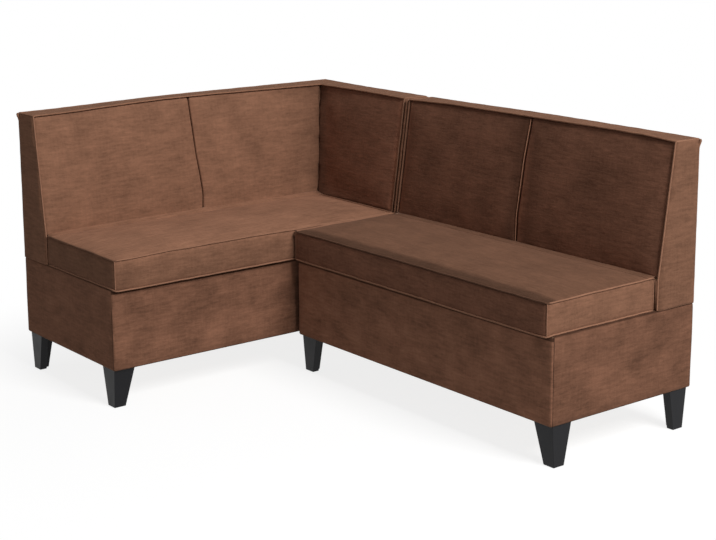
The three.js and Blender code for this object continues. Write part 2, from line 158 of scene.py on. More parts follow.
# Radius of welts and seams, and the step between their points
WELT = 0.0027
FINE_WELT = 0.0019
# The bases' end seams get a thin dark line, painted shadow of the seam's groove
SEAM_SHADOW_RADIUS = 0.0010
SEAM_PIPING = 0.0012
FOLD = 0.0062
STEP = 0.012
# The straight back's piping: its heights, how far off the seam and proud of the pads it lies, and the painted
# # highlight that lightens it, at the seat and per metre up
PIPING_HEIGHTS = (0.489, 0.868, 33)
PIPING_OFF = -0.0022
PIPING_PROUD = 0.0008
PIPING_PAINTED_HIGHLIGHT = (1.35, 1.6)
# Painted shade on the welts on both sides of the gap between the backs
GAP_WELT_SHADE = 0.8

# The cloth of the bases, with its upper edge, which the lid presses in, the painted shade under the lid's
# # edge, and a darker lower edge
BASE_ROUND = 0.007
EDGE_ROW = 0.004
TUCK_FROM = 0.018
EDGE_TUCK = 0.0012
LID_SHADE_FROM = 0.0130
LID_SHADE_FULL = 0.0108
LID_PAINTED_SHADE = 0.34
LOWER_EDGE_DARKER = 0.6
RIM_TOP = 0.3861
RIM_WIDTH = 0.0186
RIM_DEPTH = 0.025

# Back covers: the profile as depths from the wall and heights, and where the welts lie on it
PROFILE = ((0, BASE_TOP), (0, BACK_TOP), (BACK_DEPTH_TOP, BACK_TOP))
END_PROFILE = PROFILE + ((BACK_DEPTH_SEAT, SEAT_EDGE), (BACK_DEPTH_SEAT, BASE_TOP))
COVER_ROUND = 0.005
SET_IN = 0.0022
TOP_WELT = BACK_TOP - 0.0004
FRONT_AT_TOP = UNIT_DEPTH - BACK_DEPTH_TOP - 0.0012
FRONT_AT_SEAT = UNIT_DEPTH - BACK_DEPTH_SEAT - 0.0012
REAR_EDGE = UNIT_DEPTH - SET_IN
# The ear at a back's top rear corner: metres outward and to the rear, the share of its height, and its swell
EAR_HEIGHT = 0.026
EAR = ((0.0012, 0, 0.3, 1.3), (0.0032, 0.0005, 0.6, 1.7), (0.0052, 0.001, 0.82, 1.7), (0.0058, 0, 1.0, 1.0))

# How the cloth draws each back's top down or lets it stand up: metres along the back, then metres up at the
# wall side, and how much more at the front edge
DRAWN_FROM = 0.60
REAR_DRAW = (
    (0, 0.13, 0.31, 0.49, 0.68, 0.90, 1.28),
    (-0.0022, -0.0020, 0.0010, 0.0040, 0.0048, 0.0036, 0.0020),
    (0, 0.0015, 0.0050, 0.0066, 0.0056, 0.0030, 0),
)
RETURN_DRAW = (
    (0, 0.10, 0.25, 0.40, 0.586),
    (0.0020, 0.0005, -0.0015, -0.0019, -0.0022),
    (0, 0.0020, 0.0050, 0.0050, 0.0030),
)
STRAIGHT_DRAW = (
    (0, 0.08, 0.20, 0.35, 0.60, 0.90, 1.05, 1.174),
    (-0.0022, -0.0021, -0.0018, 0, 0.0018, 0.0005, -0.0002, -0.0012),
    (0.0015, 0.0040, 0.0080, 0.0070, 0.0060, 0.0080, 0.0075, 0.0025),
)

# How much light and shade is painted on the cloth: metres off a corner, seam or end, the height on the corner
# # seat's front and the place across the straight seat's top, then the shade. Painted shade darkens the inner
# # corners, the sides of the seams and the straight seat's front; painted light lightens the pads' ends,
# right
# # beside the straight back's seam, and the top of the corner seat's front
REAR_INNER_SHADE = ((0, 0.03, 0.06, 0.12, 0.16), (0.68, 0.74, 0.80, 0.92, 1))
RETURN_INNER_SHADE = ((0, 0.014, 0.030, 0.045), (0.55, 0.58, 0.80, 1))
RETURN_END_SHADE = ((0.004, 0.020, 0.030), (1.8, 1.6, 1))
STRAIGHT_END_SHADE = ((0.004, 0.016, 0.026), (1.5, 1.4, 1))
LEFT_OF_SEAM_SHADE = ((0.010, 0.026, 0.040, 0.053, 0.080), (0.58, 0.58, 0.69, 0.85, 1))
RIGHT_OF_SEAM_SHADE = ((0.004, 0.013, 0.026, 0.040, 0.066, 0.11), (1.8, 1.3, 1.05, 0.83, 0.84, 1))
CORNER_SEAT_SHADE = ((0.39, 0.45, 0.48), (0.92, 1.05, 1.25))
STRAIGHT_SEAT_SHADE = ((0.016, 0.025, 0.036), (0.50, 0.66, 1))

# Fineness of the cloth
SEAT_CELL = 0.013
PAD_CELL = 0.014
COVER_CELL = 0.030
FLAP_CELL = 0.0024

# How a cover behaves while the filling blows it up
FILLING = dict(quality=6, mass=0.3, use_pressure=True, vertex_group_mass="sewn")
STIFFNESS = dict(tension=15, compression=10, shear=8, bending=2)
FILLING_STEPS = 20

PHOTO_WIDTH, PHOTO_HEIGHT = 716, 540
SENSOR = 36


# Small tools for meshes

def clamped(share):
    return min(1.0, max(0.0, share))


def ripple(point, reach, size):
    """A smooth push in three directions, so that cloth isn't ruler-straight."""
    return noise.noise_vector(point / reach) * size


def back_depth(z):
    """How deep a back is at a height, from the wall to its front."""
    share = max(0.0, (z - SEAT_EDGE) / (BACK_TOP - SEAT_EDGE))
    return BACK_DEPTH_SEAT + (BACK_DEPTH_TOP - BACK_DEPTH_SEAT) * share


def drawn(place):
    """A point of a back, moved up or down as the cloth draws the top edge there."""
    x, y, z = place
    high_up = max(0.0, (z - DRAWN_FROM) / (BACK_TOP - DRAWN_FROM))
    if y < GAP_MIDDLE:
        depth, run, (places, tops, fronts) = WALL_X - x, STRAIGHT_LEFT - y, STRAIGHT_DRAW
    elif WALL_Y - y < WALL_X - x:
        depth, run, (places, tops, fronts) = WALL_Y - y, x + WALL_X, REAR_DRAW
    else:
        depth, run, (places, tops, fronts) = WALL_X - x, WALL_Y - y, RETURN_DRAW
    rise = np.interp(run, places, tops) + np.interp(run, places, fronts) * clamped(depth / BACK_DEPTH_TOP)
    return Vector((x, y, z + rise * high_up))


def add_object(name, data):
    made = bpy.data.objects.new(name, data)
    bpy.context.scene.collection.objects.link(made)
    return made


def new_mesh_object(name, bm, place=None):
    """An object of a form, which is put in its place first if one is given."""
    if place:
        bmesh.ops.transform(bm, matrix=place, verts=bm.verts)
    mesh = bpy.data.meshes.new(name)
    bm.to_mesh(mesh)
    bm.free()
    return add_object(name, mesh)


def evaluated(piece):
    return piece.evaluated_get(bpy.context.evaluated_depsgraph_get())


def mesh_of(piece):
    """A new mesh of what its modifiers or its curve make of a piece."""
    bpy.context.view_layer.update()
    return bpy.data.meshes.new_from_object(evaluated(piece))


def bake_modifiers(piece):
    """Replace a piece's mesh by what its modifiers make of it."""
    mesh = mesh_of(piece)
    piece.modifiers.clear()
    old = piece.data
    piece.data = mesh
    bpy.data.meshes.remove(old)
    mesh.name = piece.name


def make_finer(piece):
    """Make a soft piece's mesh twice as fine, and rounder."""
    finer = piece.modifiers.new("finer", "SUBSURF")
    finer.levels = finer.render_levels = 1
    bake_modifiers(piece)


def thicken(piece):
    """Give a skin the thickness of its cloth, inward."""
    wall = piece.modifiers.new("cloth", "SOLIDIFY")
    wall.thickness = COVER
    wall.offset = -1
    bake_modifiers(piece)


def discard(piece):
    data = piece.data
    bpy.data.objects.remove(piece)
    kind = bpy.data.meshes if isinstance(data, bpy.types.Mesh) else bpy.data.curves
    kind.remove(data)


def read_all(items, key, width=1, kind=float):
    """One value or vector of each item of a mesh."""
    values = np.empty(len(items) * width, kind)
    items.foreach_get(key, values)
    return values.reshape(-1, width) if width > 1 else values


def lay_cloth(mesh, run, pile):
    """Store where each face corner lies on its flat cloth: along the run, across it, and a panel number.
    The last argument is how light the velour is painted on panels that face along X, Y and Z: painted light
    and shade by which way a panel faces, standing in for the light and the nap's lay."""
    at = read_all(mesh.vertices, "co", 3)[read_all(mesh.loops, "vertex_index", kind=np.int32)]
    sides = read_all(mesh.polygons, "loop_total", kind=np.int32)
    panel = np.repeat(np.abs(read_all(mesh.polygons, "normal", 3)).argmax(axis=1), sides)
    run_axis, cross_axis = (0, 1) if run == "X" else (1, 0)
    along = np.choose(panel, [at[:, 1], at[:, 0], at[:, run_axis]])
    across = np.choose(panel, [at[:, 2], at[:, 2], at[:, cross_axis]])
    number = sum(mesh.name.encode()) % 17
    cloth = np.column_stack([along, across, panel * 2.3 + number])
    attribute = mesh.attributes.new("lay", "FLOAT_VECTOR", "CORNER")
    attribute.data.foreach_set("vector", cloth.ravel())
    shade = mesh.attributes.new("pile", "FLOAT", "CORNER")
    shade.data.foreach_set("value", np.array(pile, float)[panel])


def dress(piece, body, material, run="X", pile=(1, 1, 1), sides=None):
    """Give a finished mesh its material, its cloth directions and the body that it moves with.
    sides is another material for the faces that look along X, such as the redder velour with painted shade
    and bounce light."""
    mesh = piece.data
    mesh.materials.clear()
    mesh.materials.append(material)
    if sides:
        mesh.materials.append(sides)
        for face in mesh.polygons:
            face.material_index = int(abs(face.normal.x) > 0.7)
    mesh.shade_smooth()
    lay_cloth(mesh, run, pile)
    if body:
        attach(piece, body)
    return piece


def paint_light_and_shade(piece, place, rule):
    """Paint light and shade on the cloth: lighter or darker at each point by what the rule says for it in the
    unit's own frame.
    """
    mesh = piece.data
    back = place.inverted()
    factors = [rule(back @ v.co) for v in mesh.vertices]
    shade = mesh.attributes["pile"].data
    for corner in mesh.loops:
        shade[corner.index].value *= factors[corner.vertex_index]


def everything(bm):
    return bm.verts[:] + bm.edges[:] + bm.faces[:]


def cut_across(bm, point, axis):
    """Cut a mesh through a point, square to one axis."""
    normal = Vector((0, 0, 0))
    normal[axis] = 1
    bmesh.ops.bisect_plane(bm, geom=everything(bm), dist=1e-6, plane_co=point, plane_no=normal)


def cut_grid(bm, low, high, cell, axes=(0, 1, 2)):
    """Cut a mesh into even cells along the given directions."""
    for axis in axes:
        cells = max(1, round((high[axis] - low[axis]) / cell))
        for step in range(1, cells):
            cut_across(bm, Vector(low).lerp(Vector(high), step / cells), axis)


def block(low, high):
    """A closed box between two corners."""
    bm = bmesh.new()
    bmesh.ops.create_cube(bm, size=1)
    low, high = Vector(low), Vector(high)
    bmesh.ops.scale(bm, vec=high - low, verts=bm.verts)
    bmesh.ops.translate(bm, vec=(low + high) / 2, verts=bm.verts)
    return bm


def round_over(bm, edges, radius):
    bmesh.ops.bevel(bm, geom=edges, offset=radius, affect="EDGES", segments=3, profile=0.5, material=-1)


def round_uprights(bm, radius, chosen=lambda edge: True):
    upright = [e for e in bm.edges if abs(e.verts[0].co.z - e.verts[1].co.z) > 0.01 and chosen(e)]
    round_over(bm, upright, radius)


def turn_outward(bm, centre):
    """Make all faces look away from a point inside the form."""
    bmesh.ops.recalc_face_normals(bm, faces=bm.faces)
    outer = max(bm.faces, key=lambda f: f.calc_area())
    if outer.normal.dot(outer.calc_center_median() - centre) < 0:
        bmesh.ops.reverse_faces(bm, faces=bm.faces)


def fill_with_foam(bm, held, pressure, cap):
    """Blow the form up as foam and wadding fill a cover. held gives 0 to 1 for a point, 1 for sewn down."""
    scene = bpy.context.scene
    mesh = bpy.data.meshes.new("filling")
    bm.to_mesh(mesh)
    form = add_object("filling", mesh)
    group = form.vertex_groups.new(name="sewn")
    for point in bm.verts:
        group.add([point.index], held(point.co), "REPLACE")
    cloth = form.modifiers.new("filling", "CLOTH")
    for key, value in FILLING.items():
        setattr(cloth.settings, key, value)
    for key, value in STIFFNESS.items():
        setattr(cloth.settings, f"{key}_stiffness", value)
    cloth.settings.uniform_pressure_force = pressure
    cloth.settings.effector_weights.gravity = 0
    cloth.collision_settings.use_collision = False
    for step in range(1, FILLING_STEPS + 1):
        scene.frame_set(step)
    for point, place in zip(bm.verts, read_all(evaluated(form).data.vertices, "co", 3)):
        move = Vector(place) - point.co
        if move.length > 1e-9:
            point.co += move.normalized() * cap * math.tanh(move.length / cap)
    scene.frame_set(1)
    discard(form)


def path(*stops):
    """Points at even steps along a broken line."""
    stops = [Vector(stop) for stop in stops]
    points = stops[:1]
    for start, end in zip(stops, stops[1:]):
        steps = max(1, round((end - start).length / STEP))
        points += [start.lerp(end, step / steps) for step in range(1, steps + 1)]
    return points


def welt(name, points, radius=WELT, body="bench", material=None, closed=False, swell=None):
    """A round welt of the same cloth, lighter with a painted highlight unless another material is given,
    along a row of points, a little uneven as sewn piping is.
    swell gives how many times its thickness it has at each point."""
    curve = bpy.data.curves.new(name, "CURVE")
    curve.dimensions = "3D"
    curve.bevel_depth = radius
    curve.bevel_resolution = 2
    curve.use_fill_caps = True
    spline = curve.splines.new("POLY")
    spline.points.add(len(points) - 1)
    spline.use_cyclic_u = closed
    swell = swell or [1] * len(points)
    for place, point, thickness in zip(points, spline.points, swell):
        point.co = (*(place + ripple(place, 0.035, 0.0006)), 1)
        point.radius = thickness * (1 + 0.10 * noise.noise(place / 0.020))
    piece = add_object(name, curve)
    mesh = mesh_of(piece)
    discard(piece)
    mesh.name = name
    return dress(add_object(name, mesh), body, material or velour_welt_highlit)


# Materials

def set_inputs(tree, node, values):
    """Set a node's inputs to plain values, or join them to other nodes' outputs."""
    for key, value in values.items():
        if isinstance(value, bpy.types.NodeSocket):
            tree.links.new(value, node.inputs[key])
        else:
            node.inputs[key].default_value = value


def add_node(tree, kind, values=None, **settings):
    """A node with its settings and its inputs."""
    made = tree.nodes.new(f"ShaderNode{kind}")
    for key, value in settings.items():
        setattr(made, key, value)
    set_inputs(tree, made, values or {})
    return made


def sum_of(tree, first, second, kind="ADD"):
    """Two numbers added, multiplied or otherwise put together."""
    return add_node(tree, "Math", {0: first, 1: second}, operation=kind).outputs[0]


def times(tree, first, second):
    return sum_of(tree, first, second, "MULTIPLY")


def weighted(tree, *parts):
    """The sum of parts, each given as a number and its weight."""
    total, *others = (times(tree, value, weight) for value, weight in parts)
    for other in others:
        total = sum_of(tree, total, other)
    return total


def scaled_colour(tree, colour, factor):
    made = add_node(tree, "VectorMath", {0: colour, "Scale": factor}, operation="SCALE")
    return made.outputs[0]


def new_group(name, inputs):
    """A node group for a finish. Its inputs are each given as a name, a kind and a starting value."""
    group = bpy.data.node_groups.new(name, "ShaderNodeTree")
    for label, kind, start in inputs:
        socket = group.interface.new_socket(label, in_out="INPUT", socket_type=f"NodeSocket{kind}")
        if start is not None:
            socket.default_value = start
    for label, kind in (("Colour", "Color"), ("Roughness", "Float"), ("Height", "Float")):
        group.interface.new_socket(label, in_out="OUTPUT", socket_type=f"NodeSocket{kind}")
    return group, group.nodes.new("NodeGroupInput").outputs, group.nodes.new("NodeGroupOutput")


def stretched(tree, vector, scale):
    return add_node(tree, "Mapping", {"Vector": vector, "Scale": scale}).outputs["Vector"]


def speckle(tree, vector, scale, detail=2.0, roughness=0.5):
    """Noise round zero, from a stretched pattern."""
    values = {
        "Vector": stretched(tree, vector, scale),
        "Scale": 1.0,
        "Detail": detail,
        "Roughness": roughness,
    }
    made = add_node(tree, "TexNoise", values, normalize=True)
    return sum_of(tree, made.outputs["Fac"], 0.5, "SUBTRACT")


def make_velour_group():
    """Ribbed velour: fine threads and slubs along the cloth, and soft blotches in its nap. Its colour is also
    made lighter or darker by the painted light and shade given to it.
    """
    tree, given, out = new_group(
        "velour threads",
        [
            ("Lay", "Vector", None),
            ("Colour", "Color", (0.2, 0.1, 0.06, 1)),
            ("Pile", "Float", 1.0),
            ("Slubs", "Float", 1.0),
            ("Blotches", "Float", 1.0),
        ],
    )
    lay = given["Lay"]
    long_slub = speckle(tree, lay, (20, 120, 1), roughness=0.55)
    short_slub = speckle(tree, lay, (60, 280, 1))
    spots = speckle(tree, lay, (90, 130, 1), roughness=0.6)
    crossing = speckle(tree, lay, (150, 24, 1))
    blotch = speckle(tree, lay, (11, 18, 1))
    cloud = speckle(tree, lay, (9, 5, 1), detail=1.0)
    thread = speckle(tree, lay, (500, 900, 1), detail=1.0)
    slubs = weighted(tree, (long_slub, 0.60), (short_slub, 0.26), (spots, 0.34), (crossing, 0.24))
    slubs = times(tree, slubs, given["Slubs"])
    blotches = times(tree, weighted(tree, (blotch, 0.50), (cloud, 0.34)), given["Blotches"])
    both = sum_of(tree, sum_of(tree, slubs, blotches), times(tree, thread, 0.20))
    bright = times(tree, sum_of(tree, both, 1.0), given["Pile"])
    finish = {
        "Colour": scaled_colour(tree, given["Colour"], bright),
        "Roughness": sum_of(tree, times(tree, both, 0.12), 0.88),
        "Height": weighted(tree, (slubs, 0.9), (thread, 0.25), (blotch, 2.0)),
    }
    set_inputs(tree, out, finish)
    return tree


def make_grain_group():
    """Wood grain: stretched rings along one direction, with pores and a rough sawn feel."""
    tree, given, out = new_group(
        "wood grain",
        [
            ("Place", "Vector", None),
            ("Light", "Color", (0.6, 0.42, 0.25, 1)),
            ("Dark", "Color", (0.4, 0.25, 0.13, 1)),
            ("Bands", "Float", 1.0),
        ],
    )
    place = given["Place"]
    values = {"Vector": stretched(tree, place, (2.5, 9, 9)), "Scale": 1.0, "Detail": 3.0}
    warp = add_node(tree, "TexNoise", values).outputs["Fac"]
    rings = times(tree, warp, times(tree, given["Bands"], 14.0))
    rings = sum_of(tree, rings, 1.0, "MODULO")
    pores = speckle(tree, place, (30, 700, 700), roughness=0.6)
    share = weighted(tree, (rings, 0.45), (pores, 0.9))
    values = {"Factor": share, "A": given["Light"], "B": given["Dark"]}
    mixed = add_node(tree, "Mix", values, data_type="RGBA")
    finish = {
        "Colour": mixed.outputs["Result"],
        "Roughness": sum_of(tree, times(tree, pores, 0.3), 0.62),
        "Height": share,
    }
    set_inputs(tree, out, finish)
    return tree


def new_material(name):
    material = bpy.data.materials.new(name)
    material.use_nodes = True
    tree = material.node_tree
    return material, tree, tree.nodes["Principled BSDF"]


def join_finish(tree, shader, group, values, bump_depth):
    """Colour, roughness and bump from a group into the shader."""
    finish = add_node(tree, "Group", values, node_tree=group).outputs
    bump = add_node(tree, "Bump", {"Height": finish["Height"], "Distance": bump_depth})
    inputs = {
        "Base Color": finish["Colour"],
        "Roughness": finish["Roughness"],
        "Normal": bump.outputs["Normal"],
    }
    set_inputs(tree, shader, inputs)


def make_velour(name, colour, slubs=1.0, blotches=1.0):
    """Velour in a colour. slubs and blotches say how strong they show."""
    material, tree, shader = new_material(name)
    lay = add_node(tree, "Attribute", attribute_name="lay").outputs["Vector"]
    pile = add_node(tree, "Attribute", attribute_name="pile").outputs["Fac"]
    values = {"Lay": lay, "Colour": (*colour, 1), "Pile": pile, "Slubs": slubs, "Blotches": blotches}
    join_finish(tree, shader, velour_group, values, 0.0012)
    sheen = {
        "Sheen Weight": 0.20,
        "Sheen Roughness": 0.40,
        "Sheen Tint": (0.80, 0.50, 0.36, 1),
        "Specular IOR Level": 0.04,
    }
    set_inputs(tree, shader, sheen)
    return material


def make_wood(name, light, dark, bands):
    material, tree, shader = new_material(name)
    place = add_node(tree, "TexCoord").outputs["Object"]
    values = {"Place": place, "Light": (*light, 1), "Dark": (*dark, 1), "Bands": bands}
    join_finish(tree, shader, grain_group, values, 0.0003)
    return material


def make_cloudy(name, colour, spread, roughness, rough_spread, scale, metallic=0.0, specular=0.5):
    """A plain moulded, painted or plated finish with soft clouds in its colour and gloss."""
    material, tree, shader = new_material(name)
    place = add_node(tree, "TexCoord").outputs["Object"]
    clouds = speckle(tree, place, (scale,) * 3, 4.0, 0.6)
    fine = speckle(tree, place, (scale * 14,) * 3)
    both = sum_of(tree, clouds, times(tree, fine, 0.35))
    bright = sum_of(tree, times(tree, both, spread), 1.0)
    bump = add_node(tree, "Bump", {"Height": fine, "Distance": 0.0002})
    inputs = {
        "Base Color": scaled_colour(tree, colour, bright),
        "Roughness": sum_of(tree, times(tree, both, rough_spread), roughness),
        "Normal": bump.outputs["Normal"],
        "Metallic": metallic,
        "Specular IOR Level": specular,
    }
    set_inputs(tree, shader, inputs)
    return material


velour_group = make_velour_group()
grain_group = make_grain_group()
velour = make_velour("brown velour", (0.235, 0.115, 0.070))
velour_base = make_velour("brown velour of the bases", (0.240, 0.113, 0.069), 1.15, 1.7)
# A redder, darker copy of the velour: painted shade and bounce light for the backs and sides that face along
# X, away from the lamp
velour_shaded = make_velour("brown velour of the shaded backs", (0.236, 0.107, 0.066), 1.2, 1.3)
# A near-black brown for the thin line in the bases' end seams: painted shadow of the seam's groove
seam_groove_shadow = make_velour("brown sewing thread", (0.055, 0.027, 0.018), 0.5, 0.3)
# A lighter copy of the velour for the welts: painted highlight where their round edges catch the light
velour_welt_highlit = make_velour("brown velour welting", (0.290, 0.145, 0.090), 0.7, 0.4)
plywood = make_wood("birch plywood", (0.62, 0.45, 0.27), (0.44, 0.29, 0.16), 0.6)
softwood = make_wood("planed softwood", (0.68, 0.48, 0.28), (0.48, 0.29, 0.14), 1.0)
black_lacquer = make_cloudy("black satin lacquer", (0.006, 0.006, 0.0075), 0.5, 0.42, 0.25, 22, specular=0.2)
zinc_plate = make_cloudy("zinc-plated steel", (0.58, 0.59, 0.60), 0.3, 0.34, 0.25, 60, metallic=1.0)
black_rubber = make_cloudy("black rubber", (0.030, 0.030, 0.030), 0.4, 0.75, 0.2, 90)


# Seat cushions

def seat_form(low, high):
    """A cushion before it's filled: a block with rounded uprights, cut into cells and a row at each edge."""
    bm = block(low, high)
    for radius, rear in ((SEAT_CORNER, False), (REAR_CORNER, True)):
        round_uprights(bm, radius, lambda e: (e.verts[0].co.y > high.y - NEAR) == rear)
    cut_grid(bm, low, high, SEAT_CELL)
    inside = Vector((RIM_ROW, RIM_ROW, RIM_ROW))
    for axis in range(3):
        for corner in (low + inside, high - inside):
            cut_across(bm, corner, axis)
    bm.verts.index_update()
    return bm


def rim_of(bm, level, middle):
    """The points round a cushion's top or bottom edge, in turn."""
    rim = [e for e in bm.edges if all(abs(v.co.z - level) < 1e-5 for v in e.verts)]
    rim = [e for e in rim if any(abs(f.normal.z) < 0.5 for f in e.link_faces)]
    points = {v for e in rim for v in e.verts}
    return sorted(points, key=lambda v: math.atan2(v.co.y - middle.y, v.co.x - middle.x))


def shape_seat(bm, low, high, run, front_rise, front_drop):
    """Give a cushion small waves, a lifted top and a hanging lower edge at its front, a rear edge that slopes
    down under the crease cloth, and a plain crown if the filling gave it none."""
    middle = (low + high) / 2
    half = (high - low) / 2
    flat = max(v.co.z for v in bm.verts) - high.z < 0.004
    for point in bm.verts:
        at = point.co
        across = 1 - ((at.y - middle.y) / half.y) ** 2
        along = 1 - abs((at.x - middle.x) / half.x) ** 3
        if at.z > middle.z:
            lift = (at.z - middle.z) / half.z
            if flat and at.z > high.z - NEAR:
                at.z += SEAT_CROWN * max(0.0, across) * max(0.0, along)
            wave = ripple(Vector((at.x, at.y, 0.3)), 0.11, 0.0016)
            at += Vector((wave.x * 0.5, wave.y * 0.7, wave.z)) * min(1.0, lift)
        if at.z < low.z + LOW_WAVE and at.y < middle.y:
            wave = ripple(Vector((at.x, 0.7, 0.1)), 0.09, 0.0012)
            at.z += wave.z * (1 - (at.z - low.z) / LOW_WAVE)
        high_up = clamped((at.z - low.z) / (high.z - low.z))
        rearward = clamped((at.y - low.y) / (high.y - low.y))
        rise = np.interp(at.x, *front_rise) * (1 - rearward) + REAR_RISE * rearward
        drop = np.interp(at.x, *front_drop) * max(0.0, 1 - (at.y - low.y) / OVERHANG_DEPTH)
        at.z += rise * high_up - drop * (1 - high_up)
        covered = clamped((at.y - SLOPE_FROM) / SLOPE_RUN)
        from_end = at.x - low.x if run == "X" else half.x - abs(at.x - middle.x)
        at.z -= REAR_SLOPE * covered * clamped((from_end - SLOPE_INSET) / SLOPE_RUN) * high_up


def make_seat(name, place, start, end, run, pile, front_rise, front_drop, dark_side, dim_top):
    """A boxed cushion with a crowned top, sides that pull in, and slots for the lid board and its rear rail.
    dark_side tells whether a point of the top welt lies away from the light. There the welt's shade is
    painted in, as dark as dim_top."""
    low = Vector((start, SEAT_FRONT, SEAT_UNDER))
    high = Vector((end, SEAT_REAR, SEAT_EDGE))
    middle = (low + high) / 2
    half = (high - low) / 2
    bm = seat_form(low, high)
    rims = {"top": rim_of(bm, high.z, middle), "bottom": rim_of(bm, low.z, middle)}

    def held(point):
        if point.z < low.z + NEAR:
            return 1.0
        from_side = min(half.x - abs(point.x - middle.x), half.y - abs(point.y - middle.y))
        return SEAT_SEWN if point.z > high.z - NEAR and from_side < 0.002 else 0.0

    soft = [v for v in bm.verts if v.co.z > high.z - NEAR and held(v.co) == 0]
    fill_with_foam(bm, held, SEAT_PRESSURE, SEAT_CROWN)
    bmesh.ops.smooth_vert(bm, verts=soft, factor=0.5, use_axis_x=True, use_axis_y=True, use_axis_z=True)
    shape_seat(bm, low, high, run, front_rise, front_drop)

    def corner_radius(y):
        return REAR_CORNER if y > middle.y else SEAT_CORNER

    def outward(point):
        """Which way is out of the cushion's side, level, at a point of its rim."""
        away = Vector((0, 0, 0))
        if half.x - abs(point.x - middle.x) < corner_radius(point.y):
            away.x = math.copysign(1, point.x - middle.x)
        if half.y - abs(point.y - middle.y) < corner_radius(point.y):
            away.y = math.copysign(1, point.y - middle.y)
        return away.normalized()

    lines = {}
    for label, (rise, rear_rise, tuck) in RIMS.items():
        lines[label] = []
        for point in rims[label]:
            out = outward(point.co)
            lift = rear_rise if out.y > 0.5 else rise
            lines[label].append(place @ (point.co + out * WELT_OUT + Vector((0, 0, lift))))
            point.co -= out * RIM_TUCK + Vector((0, 0, tuck))
    piece = new_mesh_object(f"{name}_seat_upholstery", bm, place)
    make_finer(piece)
    carve_slots(piece, place, end)
    body = f"{name}_lid"
    # On the straight seat the faces that look along X get the redder velour with painted shade
    dress(piece, body, velour, run, pile, sides=velour_shaded if run == "Y" else None)
    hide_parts(f"{name}_seat_cushion")

    def painted_welt_shade(point):
        """Painted shade on the welts: full light but for the rear ones in the crease and the top one's dark
        side, which are painted darker.
        """
        if point.y > high.y - 0.006:
            return CREASE_WELT_SHADE
        return dim_top if point.z > middle.z and dark_side(point) else 1.0

    for label, line in lines.items():
        sewn = welt(f"{name}_seat_welt_{label}", line, body=body, closed=True)
        paint_light_and_shade(sewn, place, painted_welt_shade)
    for row, y in (("front", low.y), ("rear", high.y)):
        for side, x in (("left", low.x), ("right", high.x)):
            pull = corner_radius(y) * (1 - math.sqrt(0.5)) - WELT_OUT
            at = x + math.copysign(pull, middle.x - x), y + math.copysign(pull, middle.y - y)
            seam = [place @ p for p in path((*at, low.z + 0.003), (*at, high.z - 0.001))]
            welt(f"{name}_seat_seam_{row}_{side}", seam, FINE_WELT, body)
    return piece


def carve_slots(piece, place, end):
    """Cut the hollow in which the lid board and its rear rail lie."""
    left, right = END_INSET + SKIRT - SLOT_PLAY, end - SKIRT + SLOT_PLAY
    board = SEAT_FRONT + SKIRT - SLOT_PLAY, SEAT_UNDER - 0.01, SEAT_UNDER + LID_BOARD + SLOT_PLAY
    rail = SEAT_REAR - LID_BOARD - SLOT_PLAY, SEAT_UNDER, LID_RAIL_TOP + SLOT_PLAY
    for front, under, top in (board, rail):
        form = block((left, front, under), (right, SEAT_REAR + SLOT_PAST, top))
        cutter = new_mesh_object("slot", form, place)
        carve = piece.modifiers.new("slot", "BOOLEAN")
        carve.operation = "DIFFERENCE"
        carve.solver = "EXACT"
        carve.object = cutter
        bake_modifiers(piece)
        discard(cutter)


# Backs

